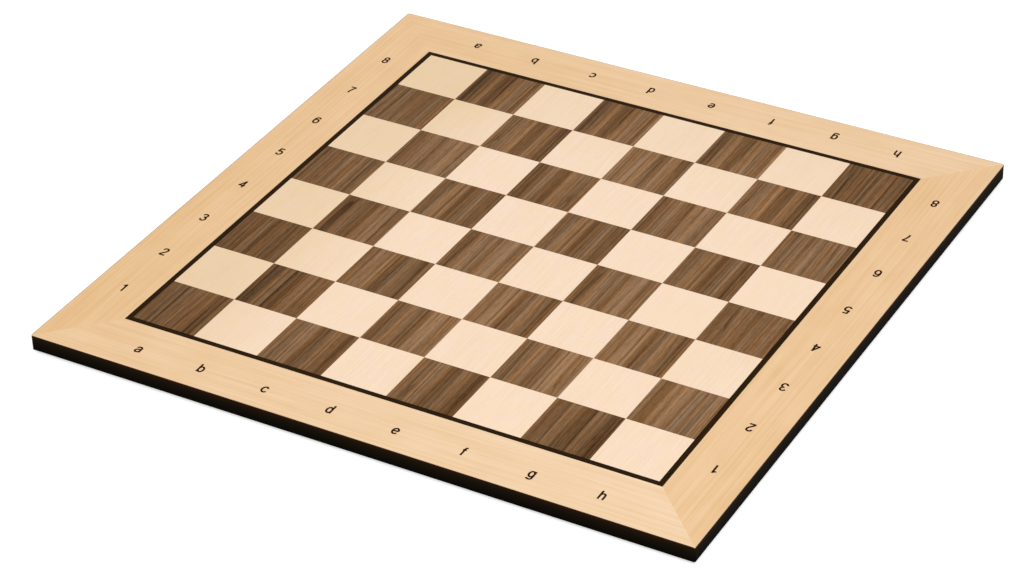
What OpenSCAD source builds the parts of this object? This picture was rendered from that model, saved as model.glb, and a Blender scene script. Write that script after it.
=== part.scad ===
// Inlaid wooden chess board with magnetic sensors under its squares.
//
// Millimetres. +X runs along the files from a to h, +Y along the ranks from
// 1 to 8, and +Z is up. The origin is the middle of the board, on the plane
// that its feet stand on. From the top down the board is built of veneers, a
// playing panel, sensor boards hung under the panel between rails and ribs,
// and a screwed bottom cover. The ports are in the middle of the rear edge.

/* [Playing field] */
// Side of one square
square = 55; // [50:0.5:60]
// Width of the black line round the field
line_w = 4.6; // [2:0.1:8]
// How much the black line trims off the outer squares
outer_trim = 0.9; // [0:0.1:3]
// Width of the maple border outside the black line
border_w = 49.8; // [46:0.1:70]
// Thickness of the veneers on top
veneer_t = 0.6; // [0.4:0.1:0.8]

/* [Wooden body] */
// Thickness of the board without its feet
body_t = 13; // [13:0.5:20]
// Thickness of the panel that carries the veneers
panel_t = 3.9; // [3.5:0.1:4.1]
// Width of the hardwood lipping round the edge
lipping_w = 6; // [4:0.5:8]
// Radius of the board's corners, seen from above
corner_r = 1.5; // [0.5:0.5:4]
// Length of the rail that reaches in under the outer squares
rail_lap = 6.5; // [4:0.5:10]
// Width of the support ribs
rib_w = 13; // [8:0.5:16]

/* [Bottom cover] */
// Thickness of the cover
cover_t = 3; // [2.4:0.2:3.2]
// Width of the rail's shoulder round the cover
shoulder_w = 6; // [4:0.5:8]
// Gap between the cover and the shoulder
cover_gap = 0.25; // [0.1:0.05:0.5]
// Distance of the outer cover screws from the board's edge
screw_inset = 24; // [20:1:28]
// Diameter of the cover screws' shank
cover_screw_d = 2.8; // [2.2:0.2:3.4]
// Diameter of the cover screws' head
cover_head_d = 5.6; // [4.6:0.2:6.4]
// Length of the cover screws
cover_screw_len = 7.4; // [6:0.2:7.6]

/* [Feet] */
// Diameter of a foot
foot_d = 14; // [10:1:20]
// Height of a foot
foot_h = 2; // [1.5:0.5:6]
// Distance of the corner feet from the board's edges
foot_inset = 39; // [36:1:60]

/* [Sensor boards] */
// Thickness of the circuit boards
pcb_t = 1.6; // [1:0.2:1.6]
// Gap between a sensor board and the rails and ribs
board_gap = 0.5; // [0.3:0.1:1]
// Width of the panel's ledge that a sensor board bears on
ledge_w = 7; // [6:0.5:10]
// Depth of the panel's recess over the sensors
recess_d = 1.5; // [1.2:0.1:1.8]
// Height of a magnetic sensor
sensor_h = 1.1; // [0.8:0.1:1.2]
// Diameter of the boss over the middle of a sensor board
boss_d = 12; // [8:1:20]
// Diameter of the board screws' shank
board_screw_d = 2; // [1.6:0.2:2.4]
// Diameter of the board screws' head
board_head_d = 3.8; // [3.4:0.2:4.6]
// How far a board screw reaches into the panel
board_screw_bite = 2.4; // [1.6:0.2:2.6]
// Side of a foam pad
pad_w = 15; // [8:1:30]

/* [Controller] */
// Width of the controller board
ctrl_w = 120; // [110:1:126]
// Depth of the controller board without its tongue
ctrl_d = 32; // [28:0.5:33]
// Gap round the controller board and the battery in their bays
bay_gap = 1; // [0.5:0.1:1.2]
// Wall of the rear rail between the bays and the lipping
rear_wall = 12; // [10:0.5:12.5]
// Wall between the controller's bay and the battery's
bay_wall = 8; // [5:1:12]
// Width of the controller board's tongue
tongue_w = 50; // [46:1:51]
// Length, width and thickness of the battery
battery_l = 80; // [50:1:90]
battery_w = 30; // [20:1:32]
battery_t = 4; // [3:0.1:4.5]
// Width of the flat cables
cable_w = 12; // [8:1:14]
// Distance of the front-to-rear cables from the middle
row_cable_x = 60; // [40:1:90]
// Distance of the controller's cables from the middle
ctrl_cable_x = 35; // [30:1:45]

/* [Ports] */
// Width of the port bezel
bezel_w = 60; // [58:1:80]
// Height of the port bezel
bezel_h = 8; // [7:0.2:8.4]
// Lipping left beyond each end of the bezel, in the short length round the ports
port_lip = 6; // [4:0.5:12]
// Thickness of the port bezel
bezel_t = 1.6; // [1.2:0.1:2]
// Width of the power button
button_w = 7; // [5:0.5:9]
// Height of the power button
button_h = 3; // [2.4:0.1:3]
// Travel of the power button
button_travel = 0.5; // [0.2:0.05:0.6]
// Gap between the power button and the bezel
button_gap = 0.1; // [0.05:0.01:0.2]
// Distance of the button and of the light from the middle
port_pitch = 16; // [12:0.5:18]
// Diameter of the status light's guide
light_d = 2; // [1.4:0.1:2.4]

/* [Hidden] */
$fn = 48;
over = 1; // how far a cutting tool runs past the face that it opens

// The field is eight squares each way, and the black line trims its outer edge
count = 8;
half_grid = square * count / 2;
half_field = half_grid - outer_trim;
half_line = half_field + line_w;
half_board = half_line + border_w;

// Levels, from the floor up
z_base = foot_h;              // underside of the body
z_floor = z_base + cover_t;   // inner face of the cover
z_top = z_base + body_t;      // playing surface
z_skin = z_top - veneer_t;    // underside of the veneers
z_roof = z_skin - panel_t;    // underside of the panel
z_pcb = z_roof - pcb_t;       // underside of the circuit boards

// Rails and ribs
rail_out = half_board - lipping_w;
rail_in = half_grid - rail_lap;
cover_hole = rail_out - shoulder_w;
cover_half = cover_hole - cover_gap;

// Sensor boards: each lies between a rib and a rail
board_in = rib_w / 2 + board_gap;
board_out = rail_in - board_gap;
board_mid = (board_in + board_out) / 2;
board_screw_inset = ledge_w / 2;
pcb_hole_d = board_screw_d + 0.2;
pilot_gap = 0.1;              // on the diameter, round a screw in wood
pilot_extra = 0.3;            // depth beyond a screw's tip
board_head_h = 1.3;
board_drive = [2.2, 0.5, 0.6];
sensor_size = [3, 1.6];
decoder_size = [10, 6, 1.6];
socket_size = [cable_w + 2, 5, 1.8];
socket_inset = 1;             // from the board's edge to the socket
cable_t = 0.3;
notch_gap = 2;                // each side of a cable in its notch

// Cover screws
cover_screw_sink = 0.1;
cover_head_h = 1.6;
cover_head_room = 0.2;        // on the radius, round a head
cover_hole_room = 0.2;        // on the radius, round a shank in the cover
cover_drive = [3, 0.8, 1];

// Controller and its bay, in the rear rail
bay_y1 = rail_out - rear_wall;
bay_y0 = bay_y1 - ctrl_d - 2 * bay_gap;
bay_y = (bay_y0 + bay_y1) / 2;
bay_half = ctrl_w / 2 + bay_gap;
battery_x1 = -bay_half - bay_wall - bay_gap;
battery_x0 = battery_x1 - battery_l;
lead_slot_w = 8;
lead_d = 1.2;
lead_pitch = 2.5;
plug_size = [7, 6, 3.4];
plug_inset = 2;
processor_size = [9, 9, 0.9];
radio_size = [16, 12, 2.4];
radio_x = ctrl_w / 2 - 16;

// Ports, all on the level of the socket that hangs under the tongue
usb_w = 8.94;
usb_h = 3.26;
usb_l = 7.35;
usb_wall = 0.3;
usb_back = 1;
usb_blade = [6.7, 0.7];
usb_blade_sink = 1;           // from the mouth to the blade's tip
usb_sink = 0.4;               // from the board's edge to the mouth
usb_slot_gap = 0.15;
z_port = z_pcb - usb_h / 2;
window_half = tongue_w / 2 + 2;
bezel_gap = 0.1;
lip_joint = bezel_w / 2 + bezel_gap + port_lip;   // from the middle to where the rear lengths butt
butt_gap = 0.05;
bezel_r = 1.6;
bezel_in = half_board - bezel_t;
tongue_y = bezel_in - 1;
flange_t = 0.8;
flange_lap = 1.2;             // of the button's flange behind the bezel
flange_gap = 0.1;
button_back = bezel_in - flange_gap - flange_t;
switch_size = [6.6, 3.6, 3.4];
switch_front = button_back - 1.5;
plunger_d = 2;
plunger_gap = 0.05;           // on the radius
plunger_depth = 1;            // inside the switch at rest
light_flange = 0.5;           // on the radius, behind the bezel
light_back = bezel_in - 1.9;
lamp_size = [3, 1.5, 2.8];
foot_edge = 0.5;

sides = ["front", "right", "rear", "left"];
quarters = [["front_left", -1, -1], ["front_right", 1, -1],
            ["rear_left", -1, 1], ["rear_right", 1, 1]];

function walnut_name(rank) = str("rank_", rank, "_walnut_squares");
function maple_name(rank) = str("rank_", rank, "_maple_squares");

// ---------------------------------------------------------------- helpers

// A box from its lowest to its highest corner
module block(low, high) {
    translate(low) cube(high - low);
}

// A block of a size, centred on x and y, hung from the level z
module hung(size, x, y, z) {
    translate([x - size[0] / 2, y - size[1] / 2, z - size[2]]) cube(size);
}

// A round hole or pin upwards from the point
module post(point, d, h) {
    translate(point) cylinder(d = d, h = h);
}

// A flat bar with round ends
module pill(w, h) {
    square([w - h, h], center = true);
    for (end = [-1, 1]) translate([end * (w - h) / 2, 0]) circle(d = h);
}

// A rectangle with round corners
module soft_rectangle(w, h, r) {
    square([w - 2 * r, h], center = true);
    square([w, h - 2 * r], center = true);
    for (x = [-1, 1], y = [-1, 1])
        translate([x * (w / 2 - r), y * (h / 2 - r)]) circle(r);
}

// Stands a flat shape up in the rear edge, from y0 to y1, at x, port level
module upright(x, y0, y1) {
    translate([x, y1, z_port]) rotate([90, 0, 0])
        linear_extrude(y1 - y0) children();
}

// The cross-shaped drive in a screw's head, opening downwards at z
module drive(size, z) {
    for (turn = [0, 90]) rotate(turn)
        translate([-size[0] / 2, -size[1] / 2, z - over])
            cube([size[0], size[1], size[2] + over]);
}

// One mitred side of a frame, seen from above: 0 front, 1 right, 2 rear, 3 left
module mitred(side, inner, outer, z0, z1) {
    rotate(90 * side) translate([0, 0, z0]) linear_extrude(z1 - z0)
        polygon([[-outer, -outer], [outer, -outer],
                 [inner, -inner], [-inner, -inner]]);
}

// The board's outline with its soft corners, as a solid
module outline(z0, z1) {
    translate([0, 0, z0]) linear_extrude(z1 - z0)
        soft_rectangle(2 * half_board, 2 * half_board, corner_r);
}

// Places one child in each quarter, in the quarter's own +X +Y directions
module in_quarters() {
    for (quarter = quarters) in_quarter(quarter) children();
}

module in_quarter(quarter) {
    mirror([quarter[1] < 0 ? 1 : 0, 0, 0])
        mirror([0, quarter[2] < 0 ? 1 : 0, 0]) children();
}

// ---------------------------------------------------------------- places

// Screws of one sensor board, in the front-left corner of its quarter's axes
function board_screw_places() =
    let (near = board_in + board_screw_inset, far = board_out - board_screw_inset)
    [[near, near], [near, far], [far, near], [far, far], [board_mid, board_mid]];

// Screws of the controller board
ctrl_screw_inset = 5;
ctrl_screw_places =
    [for (x = [-1, 1], y = [-1, 1])
        [x * (ctrl_w / 2 - ctrl_screw_inset), bay_y + y * (ctrl_d / 2 - ctrl_screw_inset)]];

// Screws of the cover: round the rails, clear of the bays, and in the ribs
screw_row = half_board - screw_inset;
bay_clear = 14;
battery_screw_x = battery_x0 - bay_gap - bay_clear;
ctrl_screw_x = bay_half + bay_clear;
rear_screw_xs = [-screw_row, battery_screw_x, ctrl_screw_x,
                 (ctrl_screw_x + screw_row) / 2, screw_row];
side_screws = [-0.5, 0, 0.5] * screw_row;
rib_screw = half_grid / 2;
cover_screw_places = concat(
    [for (x = rear_screw_xs) [x, screw_row]],
    [for (x = concat([-screw_row], side_screws, [screw_row])) [x, -screw_row]],
    [for (x = [-1, 1], y = side_screws) [x * screw_row, y]],
    [for (at = [-1, 1]) [at * rib_screw, 0]],
    [for (at = [-1, 1]) [0, at * rib_screw]]);

foot_at = half_board - foot_inset;
foot_places = [[-foot_at, -foot_at], [foot_at, -foot_at], [0, 0],
               [-foot_at, foot_at], [foot_at, foot_at]];

// Pilot holes for the cover screws, in rails and ribs
module cover_pilots() {
    depth = cover_screw_sink + cover_screw_len + pilot_extra - cover_t;
    for (place = cover_screw_places)
        post([place[0], place[1], z_floor - over], cover_screw_d + pilot_gap, depth + over);
}

// Notches for the flat cables: rows run front to rear, the others to the controller
module cable_notches() {
    half = cable_w / 2 + notch_gap;
    for (side = [-1, 1]) {
        block([side * row_cable_x - half, -rib_w, z_floor - over],
              [side * row_cable_x + half, rib_w, z_pcb]);
        block([side * ctrl_cable_x - half, rail_in - over, z_floor - over],
              [side * ctrl_cable_x + half, bay_y0 + over, z_pcb]);
    }
}

// ---------------------------------------------------------------- veneers

// The edge after the nth square, counted from the front or left; the black
// line trims the first and the last
function grid_line(n) = max(-half_field, min(half_field, n * square - half_grid));

// The squares of one rank in one wood; a1 is dark
module squares(rank, dark) {
    for (file = [1 : count]) if (((file + rank) % 2 == 0) == dark)
        block([grid_line(file - 1), grid_line(rank - 1), z_skin],
              [grid_line(file), grid_line(rank), z_top]);
}

module inlay_line(side) {
    color([0.09, 0.06, 0.05]) mitred(side, half_field, half_line, z_skin, z_top);
}

module border_veneer(side) {
    color([0.93, 0.79, 0.62]) intersection() {
        mitred(side, half_line, half_board, z_skin, z_top);
        outline(z_skin - over, z_top + over);
    }
}

// ---------------------------------------------------------------- body

// The rear lipping is three butted lengths, and the short middle one is cut for the ports
module edge_lipping(side) {
    color([0.05, 0.04, 0.035]) difference() {
        intersection() {
            mitred(side, rail_out, half_board, z_base, z_skin);
            outline(z_base - over, z_skin + over);
        }
        if (sides[side] == "rear") {
            port_window();
            upright(0, bezel_in, half_board + over)
                soft_rectangle(bezel_w + 2 * bezel_gap, bezel_h + 2 * bezel_gap, bezel_r);
            for (x = [-lip_joint, lip_joint])
                block([x - butt_gap / 2, rail_out - over, z_base - over],
                      [x + butt_gap / 2, half_board + over, z_skin + over]);
        }
    }
}

// The way through the rear rail and the rear lipping to the ports
module port_window() {
    block([-window_half, bay_y1 - over, z_floor], [window_half, half_board + over, z_roof]);
}

module playing_panel() {
    board_depth = board_screw_bite + pilot_extra;
    color([0.62, 0.47, 0.33]) difference() {
        block([-rail_out, -rail_out, z_roof], [rail_out, rail_out, z_skin]);
        in_quarters() difference() {
            block([board_in + ledge_w, board_in + ledge_w, z_roof - over],
                  [board_out - ledge_w, board_out - ledge_w, z_roof + recess_d]);
            post([board_mid, board_mid, z_roof - 2 * over], boss_d, recess_d + 3 * over);
        }
        in_quarters() for (place = board_screw_places())
            post([place[0], place[1], z_roof - over], board_screw_d + pilot_gap, board_depth + over);
        for (place = ctrl_screw_places)
            post([place[0], place[1], z_roof - over], board_screw_d + pilot_gap, board_depth + over);
    }
}

// Front and rear rails run the whole width; the side rails stand between them
module frame_rail(side) {
    end = side % 2 == 0 ? rail_out : rail_in;
    color([0.6, 0.45, 0.31]) difference() {
        rotate(90 * side) block([-end, -rail_out, z_base], [end, -rail_in, z_roof]);
        block([-cover_hole, -cover_hole, z_base - over], [cover_hole, cover_hole, z_floor]);
        cover_pilots();
        if (sides[side] == "rear") {
            controller_bays();
            port_window();
            cable_notches();
        }
    }
}

// Bays for the controller board and the battery, with a slot for the lead
module controller_bays() {
    low = z_floor - over;
    high = z_roof + over;
    block([-bay_half, bay_y0, low], [bay_half, bay_y1, high]);
    block([battery_x0 - bay_gap, bay_y0, low], [battery_x1 + bay_gap, bay_y1, high]);
    block([battery_x1, bay_y - lead_slot_w / 2, low], [-ctrl_w / 2, bay_y + lead_slot_w / 2, high]);
}

// The rib along the middle rank line, from side rail to side rail
module long_rib() {
    color([0.6, 0.45, 0.31]) difference() {
        block([-rail_in, -rib_w / 2, z_floor], [rail_in, rib_w / 2, z_roof]);
        cover_pilots();
        cable_notches();
    }
}

// Two ribs along the middle file line, which butt against the long one
module short_ribs() {
    color([0.6, 0.45, 0.31]) difference() {
        for (turn = [0, 180]) rotate(turn)
            block([-rib_w / 2, rib_w / 2, z_floor], [rib_w / 2, rail_in, z_roof]);
        cover_pilots();
    }
}

module bottom_cover() {
    color([0.08, 0.08, 0.08]) difference() {
        block([-cover_half, -cover_half, z_base], [cover_half, cover_half, z_floor]);
        for (place = cover_screw_places) translate([place[0], place[1], z_base]) {
            translate([0, 0, -over])
                cylinder(d = cover_screw_d + 2 * cover_hole_room, h = cover_t + 2 * over);
            countersink(cover_head_room);
        }
    }
}

// The cone of a countersunk head, from the level 0 up, grown by room
module countersink(room) {
    slope = (cover_head_d - cover_screw_d) / 2 / cover_head_h;
    top = cover_head_h + cover_screw_sink;
    base = cover_head_d / 2 + slope * cover_screw_sink + room;
    cylinder(r1 = base, r2 = base - slope * top, h = top);
    translate([0, 0, -over]) cylinder(r = base, h = over);
}

module cover_screws() {
    color([0.2, 0.2, 0.21]) for (place = cover_screw_places)
        translate([place[0], place[1], z_base + cover_screw_sink]) difference() {
            union() {
                cylinder(d1 = cover_head_d, d2 = cover_screw_d, h = cover_head_h);
                cylinder(d = cover_screw_d, h = cover_screw_len);
            }
            drive(cover_drive, 0);
        }
}

module rubber_feet() {
    color([0.1, 0.1, 0.1]) for (place = foot_places) translate([place[0], place[1], 0]) {
        cylinder(d1 = foot_d - 2 * foot_edge, d2 = foot_d, h = foot_edge);
        translate([0, 0, foot_edge]) cylinder(d = foot_d, h = foot_h - foot_edge);
    }
}

// ---------------------------------------------------------------- sensor boards

module sensor_board(quarter) {
    color([0.05, 0.3, 0.16]) in_quarter(quarter) difference() {
        block([board_in, board_in, z_pcb], [board_out, board_out, z_roof]);
        for (place = board_screw_places())
            post([place[0], place[1], z_pcb - over], pcb_hole_d, pcb_t + 2 * over);
    }
}

// One sensor under the middle of each square
module magnetic_sensors() {
    color([0.12, 0.12, 0.13]) for (file = [1 : count], rank = [1 : count])
        translate([(file - 0.5) * square - half_grid - sensor_size[0] / 2,
                   (rank - 0.5) * square - half_grid - sensor_size[1] / 2, z_roof])
            cube([sensor_size[0], sensor_size[1], sensor_h]);
}

module decoder_chips() {
    color([0.12, 0.12, 0.13]) in_quarters() for (column = [1.5, 2.5])
        hung(decoder_size, column * square, 2 * square, z_pcb);
}

// Sockets at both ends of each flat cable
module cable_sockets() {
    depth = socket_size[1] / 2 + socket_inset;
    color([0.9, 0.88, 0.82]) for (side = [-1, 1]) {
        for (end = [-1, 1]) hung(socket_size, side * row_cable_x, end * (board_in + depth), z_pcb);
        hung(socket_size, side * ctrl_cable_x, board_out - depth, z_pcb);
        hung(socket_size, side * ctrl_cable_x, bay_y0 + bay_gap + depth, z_pcb);
    }
}

module flat_cables() {
    low = z_pcb - (socket_size[2] + cable_t) / 2;
    half = cable_w / 2;
    color([0.85, 0.85, 0.87]) for (side = [-1, 1]) {
        block([side * row_cable_x - half, -board_in - socket_inset, low],
              [side * row_cable_x + half, board_in + socket_inset, low + cable_t]);
        block([side * ctrl_cable_x - half, board_out - socket_inset, low],
              [side * ctrl_cable_x + half, bay_y0 + bay_gap + socket_inset, low + cable_t]);
    }
}

module board_screw(place) {
    translate([place[0], place[1], z_pcb]) difference() {
        union() {
            translate([0, 0, -board_head_h]) cylinder(d = board_head_d, h = board_head_h);
            cylinder(d = board_screw_d, h = pcb_t + board_screw_bite);
        }
        drive(board_drive, -board_head_h);
    }
}

module board_screws() {
    color([0.7, 0.7, 0.72]) {
        in_quarters() for (place = board_screw_places()) board_screw(place);
        for (place = ctrl_screw_places) board_screw(place);
    }
}

// Pads between the cover and the boards, and one under the battery
module foam_pads() {
    battery_pad = [battery_l - 20, battery_w - 10];
    battery_mid = (battery_x0 + battery_x1) / 2;
    color([0.2, 0.2, 0.22]) {
        in_quarters() for (x = [1, 3], y = [1, 3])
            hung([pad_w, pad_w, z_pcb - z_floor], x * square, y * square, z_pcb);
        hung([battery_pad[0], battery_pad[1], z_roof - battery_t - z_floor],
             battery_mid, bay_y, z_roof - battery_t);
    }
}

// ---------------------------------------------------------------- controller

module controller_board() {
    color([0.05, 0.3, 0.16]) difference() {
        union() {
            block([-ctrl_w / 2, bay_y0 + bay_gap, z_pcb], [ctrl_w / 2, bay_y1 - bay_gap, z_roof]);
            block([-tongue_w / 2, bay_y1 - 2 * bay_gap, z_pcb], [tongue_w / 2, tongue_y, z_roof]);
        }
        for (place = ctrl_screw_places)
            post([place[0], place[1], z_pcb - over], pcb_hole_d, pcb_t + 2 * over);
    }
}

module processor() {
    color([0.12, 0.12, 0.13]) hung(processor_size, 0, bay_y, z_pcb);
}

module wireless_module() {
    color([0.7, 0.7, 0.72]) hung(radio_size, radio_x, bay_y, z_pcb);
}

module battery() {
    color([0.75, 0.76, 0.78])
        block([battery_x0, bay_y - battery_w / 2, z_roof - battery_t],
              [battery_x1, bay_y + battery_w / 2, z_roof]);
}

// Two wires from the battery to a plug under the controller board
module battery_lead() {
    plug_x0 = -ctrl_w / 2 + plug_inset;
    z_wire = z_pcb - plug_size[2] / 2;
    color([0.75, 0.1, 0.08]) {
        hung(plug_size, plug_x0 + plug_size[0] / 2, bay_y, z_pcb);
        for (side = [-1, 1]) translate([battery_x1, bay_y + side * lead_pitch / 2, z_wire])
            rotate([0, 90, 0]) cylinder(d = lead_d, h = plug_x0 - battery_x1);
    }
}

// ---------------------------------------------------------------- ports

// A shell with round ends, a closed back and a blade in the middle
module usb_socket() {
    mouth = half_board - usb_sink;
    back = mouth - usb_l;
    color([0.75, 0.75, 0.77]) {
        difference() {
            upright(0, back, mouth) pill(usb_w, usb_h);
            upright(0, back + usb_back, mouth + over)
                pill(usb_w - 2 * usb_wall, usb_h - 2 * usb_wall);
        }
        upright(0, back + usb_back / 2, mouth - usb_blade_sink) square(usb_blade, center = true);
    }
}

module port_bezel() {
    color([0.07, 0.07, 0.075]) difference() {
        upright(0, bezel_in, half_board) soft_rectangle(bezel_w, bezel_h, bezel_r);
        upright(0, bezel_in - over, half_board + over)
            pill(usb_w + 2 * usb_slot_gap, usb_h + 2 * usb_slot_gap);
        upright(-port_pitch, bezel_in - over, half_board + over)
            pill(button_w + 2 * button_gap, button_h + 2 * button_gap);
        upright(port_pitch, bezel_in - over, half_board + over) circle(d = light_d + 2 * plunger_gap);
    }
}

// A bar with round ends; its flange keeps it behind the bezel
module power_button() {
    color([0.2, 0.2, 0.21]) {
        upright(-port_pitch, button_back, half_board) pill(button_w, button_h);
        upright(-port_pitch, button_back, button_back + flange_t)
            pill(button_w + 2 * flange_lap, button_h);
    }
}

module power_switch() {
    bore_end = switch_front - plunger_depth - button_travel - pilot_extra;
    color([0.15, 0.15, 0.16]) difference() {
        hung(switch_size, -port_pitch, switch_front - switch_size[1] / 2, z_pcb);
        upright(-port_pitch, bore_end, switch_front + over)
            circle(d = plunger_d + 2 * plunger_gap);
    }
}

module switch_plunger() {
    color([0.85, 0.85, 0.82]) upright(-port_pitch, switch_front - plunger_depth, button_back)
        circle(d = plunger_d);
}

module status_lamp() {
    color([0.95, 0.95, 0.9]) hung(lamp_size, port_pitch, light_back - lamp_size[1] / 2, z_pcb);
}

module light_guide() {
    color([0.85, 0.9, 0.95]) {
        upright(port_pitch, light_back, half_board) circle(d = light_d);
        upright(port_pitch, bezel_in - flange_t, bezel_in) circle(d = light_d + 2 * light_flange);
    }
}

// ---------------------------------------------------------------- assembly

for (rank = [1 : count]) {
    color([0.42, 0.29, 0.2]) squares(rank, true);
    color([0.96, 0.87, 0.77]) squares(rank, false);
}
for (side = [0 : 3]) {
    inlay_line(side);
    border_veneer(side);
    edge_lipping(side);
    frame_rail(side);
}
for (quarter = quarters)
    sensor_board(quarter);
playing_panel();
long_rib();
short_ribs();
bottom_cover();
cover_screws();
rubber_feet();
magnetic_sensors();
decoder_chips();
cable_sockets();
flat_cables();
board_screws();
foam_pads();
controller_board();
processor();
wireless_module();
battery();
battery_lead();
usb_socket();
port_bezel();
power_button();
power_switch();
switch_plunger();
status_lamp();
light_guide();
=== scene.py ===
"""Finishes an inlaid sensor chess board: veneers, lacquered edges, printed
coordinates, ports, underside and the electronics inside it.

Everything is in metres, in the board's own frame: +X runs from the a file to
the h file, +Y from rank 1 to rank 8, +Z is up, and the feet stand on z = 0.
"""
import math

import bmesh
import bpy
import numpy as np
from mathutils import Matrix, Vector


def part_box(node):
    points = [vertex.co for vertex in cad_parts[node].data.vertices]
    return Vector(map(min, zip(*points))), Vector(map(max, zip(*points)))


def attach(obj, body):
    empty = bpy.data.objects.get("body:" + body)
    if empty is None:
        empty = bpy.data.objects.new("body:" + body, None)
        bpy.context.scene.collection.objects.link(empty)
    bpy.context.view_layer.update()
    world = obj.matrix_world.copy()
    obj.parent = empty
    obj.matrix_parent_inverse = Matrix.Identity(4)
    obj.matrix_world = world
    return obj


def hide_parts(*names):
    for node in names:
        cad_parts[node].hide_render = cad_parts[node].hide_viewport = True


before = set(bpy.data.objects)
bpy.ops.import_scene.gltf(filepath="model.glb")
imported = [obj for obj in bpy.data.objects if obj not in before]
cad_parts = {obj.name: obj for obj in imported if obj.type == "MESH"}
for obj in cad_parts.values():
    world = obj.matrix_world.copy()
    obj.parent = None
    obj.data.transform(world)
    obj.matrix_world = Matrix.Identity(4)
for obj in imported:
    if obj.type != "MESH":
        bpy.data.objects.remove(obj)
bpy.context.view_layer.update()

bl_info = {
    "name": "Inlaid sensor chess board",
    "version": (1, 0, 0),
    "blender": (4, 5, 0),
    "location": "View3D > Sidebar > Chess board",
    "description": "Veneers, lacquered edges, printed coordinates, ports and underside",
    "category": "Object",
}

MM = 0.001
SIDES = ("front", "right", "rear", "left")
COUNT = 8
RANKS = range(1, COUNT + 1)

# Levels and widths, read off the frame
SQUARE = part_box("rank_2_walnut_squares")[1].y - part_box("rank_2_walnut_squares")[0].y
Z_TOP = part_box("border_veneer_front")[1].z
Z_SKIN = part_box("border_veneer_front")[0].z
Z_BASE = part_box("edge_lipping_front")[0].z
HALF_BOARD = -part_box("border_veneer_front")[0].y
HALF_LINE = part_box("inlay_line_front")[1].x
RAIL_OUT = -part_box("edge_lipping_front")[1].y
HALF_FIELD = SQUARE * COUNT / 2

CORNER = 1.5 * MM                      # radius of the board's corners, from above
SMOOTH_BELOW = math.radians(35)        # edges up to this angle are shaded smooth
BEVEL_ABOVE = math.radians(40)         # edges over this angle are rounded

# The border's four sides differ in paleness, partly the wood's own tone and partly a painted sheen
# that changes with the grain's direction, and all are paler by the h file, partly the wood and
# partly painted light
SIDE_TONE_AND_SHEEN = {"front": 0.6, "right": 0.05, "rear": 0.4, "left": 0.4}
TONE_AND_LIGHT_TO_H = 0.25
# How far the lacquer laps over the border's veneer
LACQUER_LAP = {"front": 0.16 * MM, "right": 0.16 * MM, "rear": 0.6 * MM, "left": 0.6 * MM}

SIGN_TALL = 10.0                       # height that the alphabet is drawn at
SIGN_MERGE = 1e-6                      # merging distance at that scale
SIGN_SINK = -0.02 * MM                 # printed signs reach this far into what carries them
BEZEL_GAP = 0.1 * MM                   # room round the bezel in its rebate
BEZEL_CORNER = 1.7 * MM
WINDOW_HALF = 27 * MM                  # half the way through the lipping behind the bezel


def tone(red, green, blue):
    """A colour of 0 to 255 display values in linear light: ((v/255 + 0.055) / 1.055)^2.4."""
    shares = (np.array([red, green, blue]) / 255 + 0.055) / 1.055
    return tuple(float(v) for v in shares ** 2.4)


# ------------------------------------------------------------- properties

def colour(name, description, red, green, blue):
    """A colour property with its default."""
    return bpy.props.FloatVectorProperty(
        name=name, description=description, subtype="COLOR", size=3,
        min=0.0, max=1.0, default=tone(red, green, blue))


def length(name, description, default):
    """A length property in metres with its default."""
    return bpy.props.FloatProperty(
        name=name, description=description, subtype="DISTANCE", unit="LENGTH",
        min=0.0, precision=5, default=default)


class BoardSizes(bpy.types.PropertyGroup):
    """Sizes that a user may change."""
    arris: length("Arris", "Rounding of the board's upper edge", 0.35 * MM)
    lower_arris: length("Lower arris", "Rounding of the board's lower edge", 0.6 * MM)
    letter: length("Letter height", "Height of the digits and tall letters", 9.8 * MM)
    stroke: length("Stroke", "Width of the print's strokes", 1.6 * MM)
    ink: length("Ink", "Height of the print over the veneer", 0.03 * MM)
    foot_edge: length("Foot edge", "Rounding of a foot's lower edge", 0.7 * MM)


class BoardColours(bpy.types.PropertyGroup):
    """Colours that a user may change."""
    maple: colour("Maple squares", "Main tone of the light squares", 253, 226, 198)
    # The darker, warmer maple tone towards the a file and rank 8 is painted shade
    maple_shaded: colour("Maple, painted shade", "Tone of the light squares by the a file",
                       239, 209, 168)
    walnut_dark: colour("Walnut, dark", "Darkest streaks of the dark squares", 64, 40, 13)
    walnut: colour("Walnut", "Main tone of the dark squares", 125, 91, 59)
    walnut_light: colour("Walnut, light", "Lightest streaks of the dark squares", 168, 131, 98)
    border: colour("Border maple", "Warmest tone of the border", 239, 197, 145)
    # The pale border tone stands partly for the wood and partly for painted sheen and light
    border_pale_and_lit: colour("Border maple, pale", "Palest tone of the border", 250, 221, 189)
    line: colour("Inlaid line", "The black line round the field", 49, 31, 8)
    lacquer: colour("Edge lacquer", "The lacquered edge near its foot", 12, 10, 7)
    # The brown tone just under the arris is a painted reflection
    lacquer_lit_top: colour("Edge lacquer, top", "The lacquered edge just under its arris",
                         46, 28, 12)
    ink: colour("Ink", "The printed letters and digits", 44, 20, 3)


# ------------------------------------------------------------- shader kit

class Value:
    """A shader socket that takes part in arithmetic; each sign adds one Math node."""

    def __init__(self, nodes, socket):
        self.nodes = nodes
        self.socket = socket

    def math(self, operation, *others):
        return self.nodes.math(operation, self, *others)

    def __add__(self, other):
        return self.math("ADD", other)

    __radd__ = __add__

    def __sub__(self, other):
        return self.math("SUBTRACT", other)

    def __rsub__(self, other):
        return self.nodes.math("SUBTRACT", other, self)

    def __mul__(self, other):
        return self.math("MULTIPLY", other)

    __rmul__ = __mul__

    def __truediv__(self, other):
        return self.math("DIVIDE", other)

    def __neg__(self):
        return self.math("MULTIPLY", -1.0)


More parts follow.
